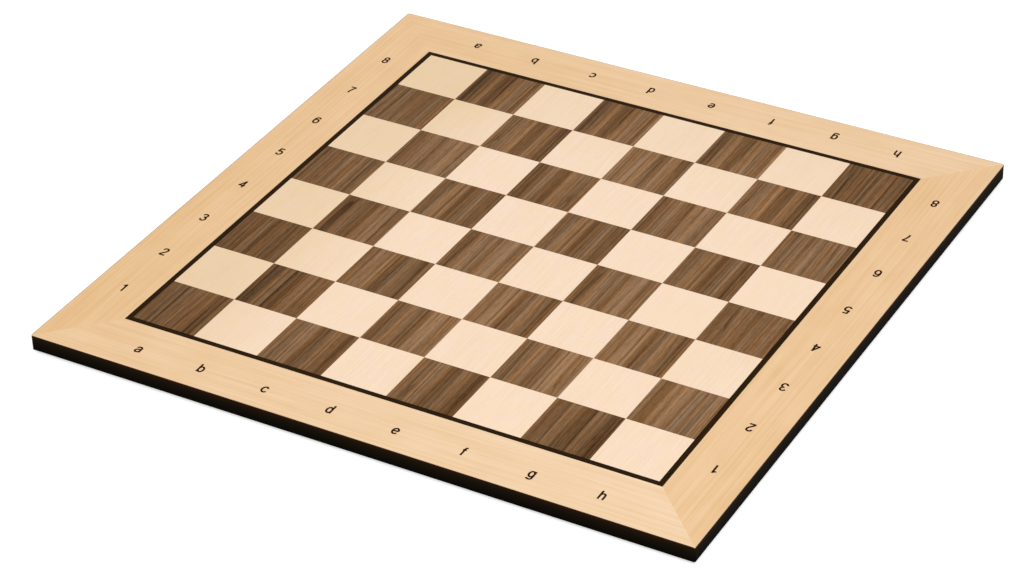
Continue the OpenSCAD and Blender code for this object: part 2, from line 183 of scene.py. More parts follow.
class Nodes:
    """Adds nodes to a tree, each with its settings and inputs in one call."""

    def __init__(self, tree):
        self.tree = tree

    def node(self, kind, settings=None, inputs=None, output=0):
        """Adds a node: its settings first, then its inputs' values or links."""
        made = self.tree.nodes.new(kind)
        for key, value in (settings or {}).items():
            if key == "stops":
                while len(made.color_ramp.elements) < len(value):
                    made.color_ramp.elements.new(0.5)
                for element, (at, rgb) in zip(made.color_ramp.elements, value):
                    element.position = at
                    element.color = (*rgb, 1.0)
            else:
                setattr(made, key, value)
        for key, value in (inputs or {}).items():
            self.feed(made.inputs[key], value)
        return Value(self, made.outputs[output])

    def feed(self, socket, value):
        """Links a Value to the socket, or writes a number or colour on it."""
        if isinstance(value, Value):
            self.tree.links.new(value.socket, socket)
        elif socket.type == "RGBA" and len(value) == 3:
            socket.default_value = (*value, 1.0)
        else:
            socket.default_value = value

    def math(self, operation, *terms):
        return self.node("ShaderNodeMath", {"operation": operation}, dict(enumerate(terms)))

    def join(self, x, y, z):
        return self.node("ShaderNodeCombineXYZ", inputs={0: x, 1: y, 2: z})

    def mix(self, share, first, second, mode="MIX"):
        """A colour between two, or one laid over the other in another mode."""
        return self.node("ShaderNodeMix", {"data_type": "RGBA", "blend_type": mode},
                         {0: share, 6: first, 7: second}, output=2)

    def noise(self, vector, scale=1.0, detail=2.0, rough=0.5):
        """Smooth noise from 0 to 1."""
        return self.node("ShaderNodeTexNoise", inputs={
            "Vector": vector, "Scale": scale, "Detail": detail, "Roughness": rough})

    def cloud(self, x, y, z, detail=1.0, rough=0.5):
        """Noise from 0 to 1 over coordinates that carry its scale along each axis."""
        return self.noise(self.join(x, y, z), detail=detail, rough=rough)

    def sway(self, x, y, z, detail=1.0, rough=0.5):
        """The same noise from -0.5 to 0.5."""
        return self.cloud(x, y, z, detail, rough) - 0.5

    def step(self, value, low, high):
        """0 below low, 1 above high, and a smooth rise between them."""
        return self.node("ShaderNodeMapRange", {"interpolation_type": "SMOOTHSTEP"},
                         {0: value, 1: low, 2: high, 3: 0.0, 4: 1.0})

    def bell(self, value, middle, width):
        """1 at the middle, falling off on both sides as exp(-(distance / width) squared)."""
        off = (value - middle) / width
        return self.math("POWER", math.e, -(off * off))

    def ramp(self, value, *stops):
        """A colour that runs through the stops, each a level and its colour."""
        return self.node("ShaderNodeValToRGB", {"stops": stops}, {0: value})

    def seen(self):
        """1 for rays that see the background: from the camera, off gloss or through glass."""
        outputs = self.node("ShaderNodeLightPath").socket.node.outputs
        camera, gloss, glass = (Value(self, outputs[name]) for name in (
            "Is Camera Ray", "Is Glossy Ray", "Is Transmission Ray"))
        return camera.math("MAXIMUM", gloss).math("MAXIMUM", glass)


class Finish(Nodes):
    """One material, built node by node round its Principled shader."""

    def __init__(self, name, base, roughness, gloss=0.5, metallic=0.0, **constants):
        self.material = bpy.data.materials.new(name)
        self.material.use_nodes = True
        super().__init__(self.material.node_tree)
        self.shader = self.tree.nodes["Principled BSDF"]
        self.shader.inputs["Base Color"].default_value = (*base, 1.0)
        self.shader.inputs["Roughness"].default_value = roughness
        self.shader.inputs["Specular IOR Level"].default_value = gloss
        self.shader.inputs["Metallic"].default_value = metallic
        for socket, value in constants.items():
            self.shader.inputs[socket.replace("_", " ")].default_value = value
        self.place = self.node("ShaderNodeTexCoord", output="Object")

    def split(self):
        """The x, y and z of the place on the object."""
        outputs = self.node("ShaderNodeSeparateXYZ", inputs={0: self.place}).socket.node.outputs
        return tuple(Value(self, outputs[axis]) for axis in range(3))

    def voronoi(self, feature, scale):
        """The distance that a pattern of cells gives: to a cell's middle or to its edge."""
        return self.node("ShaderNodeTexVoronoi", {"feature": feature},
                         {"Vector": self.place, "Scale": scale})

    def colour(self, value):
        self.feed(self.shader.inputs["Base Color"], value)
        return self

    def roughness(self, value):
        self.feed(self.shader.inputs["Roughness"], value)
        return self

    def metallic(self, value):
        self.feed(self.shader.inputs["Metallic"], value)
        return self

    def bump(self, height, strength, distance):
        """Raises the surface by a height from 0 to 1, times a distance in metres."""
        normal = self.node("ShaderNodeBump", inputs={
            "Strength": strength, "Distance": distance, "Height": height})
        self.feed(self.shader.inputs["Normal"], normal)
        return self


# --------------------------------------------------------------- mesh kit

def grid_faces(rows, columns, wrap=False):
    """Quads between neighbouring points of a rows x columns grid.

    Point (row, column) has number row * columns + column; with wrap the last
    column joins the first, so each row is a closed ring.
    """
    row, column = np.mgrid[0:rows - 1, 0:columns - (0 if wrap else 1)]
    after = (column + 1) % columns
    corners = [row * columns + column, row * columns + after,
               (row + 1) * columns + after, (row + 1) * columns + column]
    return np.stack(corners, -1).reshape(-1, 4)


def linked(name, data):
    """An object for a mesh, lamp or camera, put into the scene."""
    made = bpy.data.objects.new(name, data)
    bpy.context.scene.collection.objects.link(made)
    return made


def solid_mesh(name, parts, merge=1e-7):
    """A mesh from parts, each its points and its sets of faces.

    Points nearer than the merging distance become one, and the faces are
    turned outwards.
    """
    mesh = bpy.data.meshes.new(name)
    clouds = [np.asarray(points, float).reshape(-1, 3) for points, _ in parts]
    faces, start = [], 0
    for points, (_, face_sets) in zip(clouds, parts):
        for face_set in face_sets:
            faces += (np.asarray(face_set) + start).tolist()
        start += len(points)
    mesh.from_pydata(np.concatenate(clouds), [], faces)
    work = bmesh.new()
    work.from_mesh(mesh)
    bmesh.ops.remove_doubles(work, verts=work.verts, dist=merge)
    bmesh.ops.dissolve_degenerate(work, edges=work.edges, dist=1e-7)
    bmesh.ops.recalc_face_normals(work, faces=work.faces)
    work.to_mesh(mesh)
    work.free()
    return mesh


def add_piece(name, parts, material, body="board"):
    """A new piece of the board from parts, each its points and its sets of faces."""
    return dress(name, solid_mesh(name, parts), material, body)


def dress(name, mesh, material, body):
    """Puts a mesh into the scene with its material, and lets it ride on a body."""
    mesh.materials.clear()
    mesh.materials.append(material)
    mesh.polygons.foreach_set("use_smooth", np.ones(len(mesh.polygons), bool))
    mesh.set_sharp_from_angle(angle=SMOOTH_BELOW)
    piece = linked(name, mesh)
    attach(piece, body)
    return piece


def settle(piece):
    """Applies the modifiers of a piece."""
    bpy.context.view_layer.update()
    done = bpy.data.meshes.new_from_object(
        piece.evaluated_get(bpy.context.evaluated_depsgraph_get()))
    piece.modifiers.clear()
    piece.data = done


def tube(rings):
    """A solid from rings of points, (rings, points, 3), closed by a cap at each end."""
    rings = np.asarray(rings, float)
    count, around = rings.shape[:2]
    ends = [np.arange(around)[None, :], (count - 1) * around + np.arange(around)[None, :]]
    return rings.reshape(-1, 3), [grid_faces(count, around, wrap=True), *ends]


def turned(profile, place, steps):
    """A profile of (radius, height) carried round the upright axis at a place.

    Point = place + (radius cos a, radius sin a, height), a in equal steps.
    """
    profile = np.asarray(profile, float)
    angle = np.linspace(0, 2 * math.pi, steps, endpoint=False)
    rings = np.stack([
        profile[:, :1] * np.cos(angle), profile[:, :1] * np.sin(angle),
        np.repeat(profile[:, 1:], steps, 1)], -1) + np.asarray(place, float)
    return tube(rings)


def arc(centre, radius, start, end, steps=6):
    """Points on a round arc from one angle to another, in degrees."""
    return oval(centre, (radius, radius), start, end, steps)


def oval(centre, radii, start=0.0, end=360.0, steps=40):
    """Points on an ellipse, centre + (radius cos a, radius sin a), with a in degrees."""
    angle = np.radians(np.linspace(start, end, steps))
    return np.stack([centre[0] + radii[0] * np.cos(angle),
                     centre[1] + radii[1] * np.sin(angle)], -1)


def edge_strip(side, profile):
    """One mitred side of the board's frame, with half of each soft corner.

    The profile is a closed ring of (inset from the board's edge, height). At a
    station (u, a) the point with inset d lies at
    (u c + r sin a, -(c + r cos a)), where r is what is left of the corner's
    radius after d, and c = half width - max(corner radius, d). Each side is
    the front one turned by a quarter turn more.
    """
    profile = np.asarray(profile, float)
    round_it, along = 7, 9
    bend = np.radians(np.linspace(0, 45, round_it))
    run = np.concatenate([-np.ones(round_it), np.linspace(-1, 1, along)[1:-1], np.ones(round_it)])
    turn = np.concatenate([-bend[::-1], np.zeros(along - 2), bend])
    inset, height = profile[:, 0], profile[:, 1]
    left = np.maximum(CORNER - inset, 0)
    core = HALF_BOARD - np.maximum(CORNER, inset)
    x = run[:, None] * core + left * np.sin(turn)[:, None]
    y = -(core + left * np.cos(turn)[:, None])
    rings = np.stack([x, y, np.broadcast_to(height, x.shape)], -1)
    angle = math.pi / 2 * SIDES.index(side)
    spin = np.array([[math.cos(angle), -math.sin(angle), 0],
                     [math.sin(angle), math.cos(angle), 0], [0, 0, 1]])
    return tube(rings @ spin.T)


def boolean(piece, others, operation):
    """Applies an exact boolean of the piece with other objects, which are then removed."""
    group = bpy.data.collections.new("cutters")
    bpy.context.scene.collection.children.link(group)
    for other in others:
        group.objects.link(other)
    tool = piece.modifiers.new("cut", "BOOLEAN")
    tool.operation = operation
    tool.operand_type = "COLLECTION"
    tool.collection = group
    tool.solver = "EXACT"
    settle(piece)
    for other in others:
        bpy.data.objects.remove(other)
    bpy.data.collections.remove(group)


def raised(outline, height):
    """An outline of (x, y) laid at a height."""
    return np.column_stack([outline, np.full(len(outline), height)])


def plate(outline, low, high):
    """A flat slab between two heights, with an (n, 2) outline."""
    return tube([raised(outline, low), raised(outline, high)])


def upright_block(low, high, radius, y0, y1):
    """A cutter from y0 to y1 with an outline in x and z, its corners rounded."""
    (x0, z0), (x1, z1) = low, high
    if radius:
        outline = np.concatenate([
            arc((x1 - radius, z1 - radius), radius, 0, 90, 8),
            arc((x0 + radius, z1 - radius), radius, 90, 180, 8),
            arc((x0 + radius, z0 + radius), radius, 180, 270, 8),
            arc((x1 - radius, z0 + radius), radius, 270, 360, 8)])
    else:
        outline = np.array([(x1, z1), (x0, z1), (x0, z0), (x1, z0)])
    rings = [np.insert(outline, 1, y, axis=1) for y in (y0, y1)]
    return linked("cutter", solid_mesh("cutter", [tube(rings)]))


def mesh_points(mesh):
    """The points of a mesh, (points, 3)."""
    points = np.zeros(len(mesh.vertices) * 3, np.float32)
    mesh.vertices.foreach_get("co", points)
    return points.reshape(-1, 3)


def softened(node, material, width, body="board", segments=2):
    """A copy of a CAD node with its sharp edges rounded, shown in the node's stead."""
    work = bmesh.new()
    work.from_mesh(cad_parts[node].data)
    bmesh.ops.remove_doubles(work, verts=work.verts, dist=1e-6)
    bmesh.ops.dissolve_limit(work, angle_limit=math.radians(1), verts=work.verts,
                             edges=work.edges)
    mesh = bpy.data.meshes.new(node + "_finish")
    work.to_mesh(mesh)
    work.free()
    piece = dress(node + "_finish", mesh, material, body)
    bevel = piece.modifiers.new("arris", "BEVEL")
    bevel.width = width
    bevel.segments = segments
    bevel.limit_method = "ANGLE"
    bevel.angle_limit = BEVEL_ABOVE
    bevel.use_clamp_overlap = True
    settle(piece)
    piece.data.set_sharp_from_angle(angle=SMOOTH_BELOW)
    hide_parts(node)
    return piece


def cover(nodes, material):
    """Gives CAD nodes their finish."""
    for node in nodes:
        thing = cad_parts[node]
        if not thing.material_slots:
            thing.data.materials.append(material)
        for slot in thing.material_slots:
            slot.link = "OBJECT"
            slot.material = material


# -------------------------------------------------------------- finishes

def field_place(finish):
    """Where a point lies in the field: its leaf's coordinate, its file and rank, x and y.

    The leaf's coordinate runs from 0 to 1 over a square. It runs backwards in
    every second file, because the leaves are opened like the pages of a book.
    """
    x, y, _ = finish.split()
    across = x / SQUARE + COUNT / 2
    along = y / SQUARE + COUNT / 2
    file = across.math("FLOOR")
    rank = along.math("FLOOR")
    inside = across - file
    odd = file.math("MODULO", 2.0)
    leaf = inside + odd * (1.0 - 2.0 * inside)
    return leaf, file, rank, x, y


def square_chance(finish, file, rank, seed):
    """A number from 0 to 1 that is the same all over one square."""
    return finish.node("ShaderNodeTexWhiteNoise", {"noise_dimensions": "3D"},
                       {"Vector": finish.join(file, rank, seed)})


def walnut_finish(colours):
    """Walnut veneer: matched leaves with light and dark bands, growth rings, streaks and pores.

    The two outer files have hardly any bands. The wood is darker towards the a file and towards
    ranks 1 and 8, a painted shade for light that falls off towards those edges.
    """
    finish = Finish("walnut_veneer", colours.walnut, 0.45, IOR=1.08)
    leaf, file, rank, x, y = field_place(finish)
    chance = square_chance(finish, file, rank, 3.0)
    outer = finish.step((file - (COUNT - 1) / 2).math("ABSOLUTE"), 3.0, 3.4)
    part = outer * 5.0 + chance * 0.9
    u = leaf + finish.sway(leaf * 1.5, y * 6.0, part) * 0.05
    light = (finish.bell(u, 0.30, 0.085) * 0.15 + finish.bell(u, 0.70, 0.055) * 0.12
             + finish.bell(u, 0.0, 0.05) * 0.12)
    bands = (light - finish.bell(u, 0.89, 0.07) * 0.20
             - finish.bell(u, 0.51, 0.09) * 0.09) * (1.0 - outer * 0.8)
    wide = finish.sway(u * 8.0, y * 5.0, part)
    streak = finish.sway(u * 22.0, y * 5.0, part + 4.0)
    fine = finish.sway(u * 42.0, y * 8.0, part + 9.0)
    grain = finish.sway(u * 70.0, y * 110.0, part + 13.0, 4.0, 0.6)
    bend = finish.cloud(u * 4.0, y * 4.0, part + 25.0)
    rings = (u * 13.0 + bend * 5.0).math("FRACT").math("POWER", 3.0)
    # Painted shade: the walnut is darkened towards the a file and towards ranks 1 and 8, where the
    # light falls off.
    edge_falloff_shade = finish.step(-x, 0.06, 0.22) * 0.12 + finish.step(y.math("ABSOLUTE"), 0.12, 0.21) * 0.09
    level = (0.61 + bands + wide * 0.38 + streak * 0.55 + fine * 0.45 + grain * 0.5
             - rings * 0.2 + (chance - 0.5) * 0.2 - edge_falloff_shade)
    shade = finish.ramp(level, (0.08, colours.walnut_dark), (0.5, colours.walnut),
                        (0.92, colours.walnut_light))
    warmth = finish.step(finish.cloud(u * 12.0, y * 5.0, part + 17.0), 0.35, 0.65)
    cast = finish.mix(warmth, (0.96, 1.01, 1.08), (1.07, 0.985, 0.84))
    shade = finish.mix(1.0, shade, cast, "MULTIPLY")
    pores = finish.step(finish.cloud(u * 300.0, y * 160.0, part + 21.0), 0.60, 0.70)
    shade = finish.mix(pores * 0.5, shade, tone(46, 28, 14))
    finish.colour(shade).roughness(0.46 + fine * 0.15 + pores * 0.15)
    return finish.bump(0.5 + grain * 0.4 - pores * 0.5, 0.25, 0.08 * MM).material


def maple_finish(colours):
    """Maple veneer of the light squares: pale, with faint growth lines, hairs and small flecks.

    The wood is darker and warmer towards the a file and towards rank 8, a painted shade for light
    that falls off towards those edges.
    """
    finish = Finish("maple_veneer", colours.maple, 0.42, IOR=1.25)
    leaf, file, rank, x, y = field_place(finish)
    chance = square_chance(finish, file, rank, 8.0)
    u = leaf + finish.sway(leaf * 1.2, y * 14.0, chance) * 0.10
    patch = finish.sway(leaf * 2.2, y * 30.0, chance * 7.0, 2.0)
    lines = finish.sway(u * 26.0, y * 7.0, chance * 3.0, 3.0, 0.6)
    # Painted shade: towards the a file and towards rank 8 the maple is mixed towards its darker,
    # warmer shaded tone.
    outer = finish.step(-x, 0.075, 0.20)
    rear = finish.step(y, 0.06, 0.24)
    share = outer * 0.85 + rear * 0.38 + (chance - 0.5) * 0.18 + patch * 0.25 + lines * 0.30
    shade = finish.mix(share.math("MAXIMUM", 0.0), colours.maple, colours.maple_shaded)
    hair = finish.step(finish.cloud(u * 230.0, y * 26.0, chance * 5.0 + 7.0, 2.0), 0.40, 0.64)
    flecks = finish.step(finish.cloud(u * 150.0, y * 330.0, chance * 5.0), 0.64, 0.74)
    shade = finish.mix(hair * 0.22 + flecks * 0.3, shade, tone(222, 178, 132))
    warmth = finish.step(finish.cloud(u * 5.0, y * 60.0, chance * 5.0 + 30.0, 2.0), 0.3, 0.7)
    cast = finish.mix(warmth, (1.0, 0.995, 0.96), (1.0, 1.0, 1.04))
    shade = finish.mix(1.0, shade, cast, "MULTIPLY")
    finish.colour(shade).roughness(0.40 + lines * 0.10)
    return finish.bump(0.5 + lines * 0.5 - flecks * 0.3, 0.15, 0.05 * MM).material


def border_finish(colours, side):
    """Maple veneer of one side of the border, with its grain along the side.

    Each side has its own paleness and all get paler towards the h file, partly the wood's own tone
    and partly painted sheen and light. The lacquer laps over the outer edge.
    """
    finish = Finish("border_maple_" + side, colours.border, 0.42, IOR=1.25)
    x, y, _ = finish.split()
    seed = 11.0 * SIDES.index(side)
    run, across = (x, y) if side in ("front", "rear") else (y, x)
    u = across + finish.sway(run * 6.0, across * 9.0, seed) * 0.004
    broad = finish.sway(u * 55.0, run * 2.2, seed)
    lines = finish.sway(u * 480.0, run * 7.0, seed + 3.0, 3.0, 0.6)
    patch = finish.sway(run * 26.0, across * 40.0, seed + 6.0, 2.0)
    # Partly painted sheen and light: each side's paleness and its rise towards the h file.
    pale = SIDE_TONE_AND_SHEEN[side] + x * (TONE_AND_LIGHT_TO_H / HALF_BOARD)
    shade = finish.mix(pale, colours.border, colours.border_pale_and_lit)
    dark = finish.mix(1.0, shade, tone(240, 228, 200), "MULTIPLY")
    shade = finish.mix(0.30 + broad * 0.4 + lines * 1.6 + patch * 0.6, shade, dark)
    flecks = finish.step(finish.cloud(u * 3200.0, run * 300.0, seed + 9.0), 0.66, 0.76)
    shade = finish.mix(flecks * 0.25, shade, tone(190, 140, 92))
    # The lacquer's lap over the veneer's edge takes the lacquer's painted lit tone.
    reach = x.math("ABSOLUTE").math("MAXIMUM", y.math("ABSOLUTE"))
    lap = HALF_BOARD - LACQUER_LAP[side]
    shade = finish.mix(finish.step(reach, lap, lap + 0.1 * MM), shade, colours.lacquer_lit_top)
    finish.colour(shade).roughness(0.42 + lines * 0.10)
    return finish.bump(0.5 + lines * 0.5, 0.15, 0.05 * MM).material


def line_finish(colours):
    """Dyed black veneer with a trace of grain along each strip.

    A strip at the side runs along y and one at the front or rear along x, and
    their mitre is where the two are equally far out.
    """
    finish = Finish("black_inlay", colours.line, 0.45, IOR=1.05)
    x, y, _ = finish.split()
    sideways = x.math("ABSOLUTE").math("GREATER_THAN", y.math("ABSOLUTE"))
    run = x + sideways * (y - x)
    across = x + y - run
    streak = finish.cloud(across * 1500.0, run * 60.0, sideways, 2.0)
    finish.colour(finish.mix(finish.step(streak, 0.3, 0.7), tone(36, 22, 6), colours.line))
    return finish.bump(streak, 0.1, 0.05 * MM).material


def lacquer_finish(colours):
    """Black lacquer over the lipping, painted lighter and brown just under the arris as a
    reflection, and darkest near its foot as shade.
    """
    finish = Finish("black_lacquer", colours.lacquer, 0.42, IOR=1.03)
    x, y, z = finish.split()
    patch = finish.sway(x * 60.0, y * 60.0, z * 400.0, 2.0)
    # Painted reflection and shade: the lacquer is darkest at its foot and grows lighter and browner
    # towards the arris.
    height = (z - Z_BASE) / (Z_TOP - Z_BASE) + patch * 0.12
    shade = finish.ramp(height, (0.10, colours.lacquer), (0.55, tone(22, 17, 10)),
                        (0.85, tone(36, 23, 11)), (1.0, colours.lacquer_lit_top))
    grain = finish.cloud(x * 900.0, y * 900.0, z * 3000.0, 2.0)
    finish.colour(shade).roughness(0.46 + patch * 0.1)
    return finish.bump(grain, 0.08, 0.04 * MM).material


def ink_finish(colours):
    """Dark brown ink, slightly uneven."""
    finish = Finish("printed_ink", colours.ink, 0.5, IOR=1.05)
    patch = finish.noise(finish.place, 900.0, 2.0)
    return finish.colour(finish.mix(patch * 0.5, colours.ink, tone(62, 32, 7))).material


def fibreboard_finish():
    """Bare fibreboard, brown with short pale and dark fibres; its underside is painted black."""
    finish = Finish("fibreboard", tone(168, 130, 92), 0.85, gloss=0.2)
    fibre = finish.noise(finish.place, 900.0, 4.0, 0.7)
    patch = finish.noise(finish.place, 60.0, 2.0)
    shade = finish.ramp(fibre * 0.7 + patch * 0.3, (0.3, tone(128, 94, 62)),
                        (0.52, tone(168, 130, 92)), (0.72, tone(196, 160, 118)))
    _, _, z = finish.split()
    paint = 1.0 - finish.step(z, Z_BASE + 0.05 * MM, Z_BASE + 0.15 * MM)
    shade = finish.mix(paint, shade, tone(30, 30, 31))
    return finish.colour(shade).bump(fibre, 0.3, 0.1 * MM).material


# Painted and moulded surfaces: main tone, light tone, scale of the texture, roughness, relief
PAINTED = {
    "black_cover": ((30, 30, 31), (46, 46, 47), 1400.0, 0.7, 0.3),
    "foot_rubber": ((34, 34, 35), (52, 52, 53), 900.0, 0.8, 0.3),
    "bezel_plastic": ((34, 34, 36), (48, 48, 50), 2600.0, 0.5, 0.25),
    "button_plastic": ((70, 70, 73), (86, 86, 89), 2600.0, 0.42, 0.15),
    "switch_plastic": ((40, 40, 43), (56, 56, 59), 1800.0, 0.5, 0.15),
    "lamp_white": ((238, 238, 230), (250, 250, 244), 900.0, 0.3, 0.15),
    "plunger_ivory": ((222, 214, 192), (234, 228, 210), 900.0, 0.4, 0.15),
    "ivory_plastic": ((222, 214, 192), (234, 228, 210), 900.0, 0.45, 0.15),
    "power_sign_ink": ((176, 176, 178), (196, 196, 198), 3000.0, 0.5, 0.15),
    "chip_black": ((40, 40, 42), (58, 58, 61), 2200.0, 0.55, 0.15),
}


def painted_finish(name):
    """A painted or moulded surface with a fine even texture."""
    base, light, scale, rough, relief = PAINTED[name]
    finish = Finish(name, tone(*base), rough, IOR=1.2)
    fine = finish.noise(finish.place, scale, 3.0, 0.6)
    patch = finish.noise(finish.place, scale / 30.0, 2.0)
    share = finish.step(fine * 0.6 + patch * 0.4, 0.32, 0.68)
    finish.colour(finish.mix(share, tone(*base), tone(*light)))
    finish.roughness(rough + (patch - 0.5) * 0.15)
    return finish.bump(fine, relief, 0.05 * MM).material


def metal_finish(name, base, rough, scale=600.0):
    """Bare or plated metal with fine rubbing marks."""
    finish = Finish(name, base, rough, metallic=1.0)
    marks = finish.noise(finish.place, scale, 3.0, 0.6)
    finish.roughness(rough + (marks - 0.5) * 0.25)
    finish.colour(finish.mix(marks, base, tuple(v * 0.8 for v in base)))
    return finish.bump(marks, 0.05, 0.02 * MM).material


def circuit_finish():
    """A green circuit board: solder mask over bent copper tracks, with tinned pads.

    The tracks run along y in some areas and along x in the others. A pad is a
    square about the middle of its cell.
    """
    finish = Finish("circuit_board", tone(20, 82, 48), 0.4)
    x, y, _ = finish.split()
    pitch = 2.54 * MM
    bend = finish.cloud(x * 12.0, y * 12.0, 1.0, 0.0)
    lane = (x / pitch + bend * 6.0).math("FRACT")
    row = (y / pitch + bend * 6.0).math("FRACT")
    area = finish.step(finish.cloud(x * 9.0, y * 9.0, 6.0, 0.0), 0.48, 0.52)
    track = (finish.bell(lane, 0.5, 0.14) * area).math(
        "MAXIMUM", finish.bell(row, 0.5, 0.14) * (1.0 - area))
    shade = finish.mix(track * 0.7, tone(16, 72, 42), tone(44, 120, 66))
    from_mid = ((x / pitch).math("FRACT") - 0.5).math("ABSOLUTE").math(
        "MAXIMUM", ((y / pitch).math("FRACT") - 0.5).math("ABSOLUTE"))
    chosen = finish.step(finish.noise(finish.place, 45.0, 0.0), 0.66, 0.68)
    pad = (1.0 - finish.step(from_mid, 0.16, 0.2)) * chosen
    finish.colour(finish.mix(pad, shade, tone(196, 196, 190)))
    finish.metallic(pad).roughness(0.42 - pad * 0.1)
    return finish.bump(track, 0.2, 0.03 * MM).material


def socket_finish(z_port):
    """Drawn steel shell; the blade in its middle is black with gold contacts."""
    finish = Finish("socket_steel", tone(176, 178, 182), 0.28, metallic=1.0)
    x, y, z = finish.split()
    aside, off = x.math("ABSOLUTE"), (z - z_port).math("ABSOLUTE")
    blade = (1.0 - finish.step(aside, 3.40 * MM, 3.45 * MM)) * (
        1.0 - finish.step(off, 0.40 * MM, 0.45 * MM))
    contact_pitch = 0.5 * MM
    lane = ((x / contact_pitch).math("FRACT") - 0.5).math("ABSOLUTE")
    gold = blade * (1.0 - finish.step(lane, 0.2, 0.26)) * (
        1.0 - finish.step(aside, 2.8 * MM, 2.9 * MM))
    marks = finish.cloud(x * 900.0, y * 90.0, z * 900.0, 2.0)
    shade = finish.mix(blade, finish.mix(marks, tone(196, 198, 202), tone(150, 152, 158)),
                       tone(22, 22, 24))
    finish.colour(finish.mix(gold, shade, tone(212, 168, 84)))
    finish.metallic((1.0 - blade).math("MAXIMUM", gold))
    return finish.roughness(0.26 + blade * 0.2 + marks * 0.08).material


def banded_finish(name, base, dark, pitch, axis, rough):
    """A ribbed plastic film or sleeve: colour in narrow bands across one axis."""
    finish = Finish(name, base, rough)
    lane = ((finish.split()[axis] / pitch).math("FRACT") - 0.5).math("ABSOLUTE")
    patch = finish.noise(finish.place, 300.0, 2.0)
    finish.colour(finish.mix(finish.step(lane, 0.25, 0.45) * 0.7 + patch * 0.2, base, dark))
    return finish.bump(lane, 0.3, 0.05 * MM).material


def foil_finish():
    """The crinkled foil pouch of the battery, painted darker along its creases as shade."""
    finish = Finish("battery_foil", tone(190, 192, 198), 0.35, metallic=1.0)
    crease_and_shade = finish.step(finish.voronoi("DISTANCE_TO_EDGE", 130.0), 0.0, 0.12)
    # Painted shade: the foil is darker along its creases.
    finish.colour(finish.mix(crease_and_shade, tone(150, 152, 158), tone(196, 198, 204)))
    finish.roughness(0.45 - crease_and_shade * 0.12)
    return finish.bump(crease_and_shade, 0.25, 0.1 * MM).material


def foam_finish():
    """Closed-cell foam: dark grey with tiny pits that are painted darker as shade."""
    finish = Finish("grey_foam", tone(66, 66, 70), 0.95, gloss=0.1)
    cell = finish.voronoi("F1", 1500.0)
    # Painted shade: the pits are darker than the foam round them.
    finish.colour(finish.mix(finish.step(cell, 0.2, 0.7), tone(44, 44, 48), tone(84, 84, 88)))
    return finish.bump(cell, 0.5, 0.2 * MM).material


def guide_finish():
    """Clear moulded plastic, faintly clouded."""
    finish = Finish("clear_plastic", tone(238, 242, 246), 0.12, Transmission_Weight=0.75, IOR=1.49)
    patch = finish.noise(finish.place, 700.0, 2.0)
    return finish.roughness(0.08 + patch * 0.15).material


# --------------------------------------------------------------- lettering

def spline(keys):
    """A smooth line through key points, as Catmull-Rom.

    Each span is the cubic that leaves and reaches its keys in the directions of
    the keys' neighbours.
    """
    keys = np.asarray(keys, float)
    padded = np.concatenate([2 * keys[:1] - keys[1:2], keys, 2 * keys[-1:] - keys[-2:-1]])
    a, b, c, d = padded[:-3], padded[1:-2], padded[2:-1], padded[3:]
    steps = 8
    t = np.linspace(0, 1, steps, endpoint=False)[None, :, None]
    a, b, c, d = (part[:, None, :] for part in (a, b, c, d))
    run = 0.5 * (2 * b + (c - a) * t + (2 * a - 5 * b + 4 * c - d) * t ** 2
                 + (3 * b - a - 3 * c + d) * t ** 3)
    return np.concatenate([run.reshape(-1, 2), keys[-1:]])


def stroke_outline(line, width):
    """The outline of a pen line.

    It is the line moved by half the width to both sides, along the mitre of
    its neighbouring spans.
    """
    line = np.asarray(line, float)
    span = np.diff(line, axis=0)
    span /= np.linalg.norm(span, axis=1, keepdims=True)
    side = np.stack([-span[:, 1], span[:, 0]], -1)
    before = np.concatenate([side[:1], side])
    after = np.concatenate([side, side[-1:]])
    mitre = before + after
    mitre /= np.maximum((mitre * after).sum(1, keepdims=True), 0.35)
    return np.concatenate([line + mitre * width / 2, (line - mitre * width / 2)[::-1]])


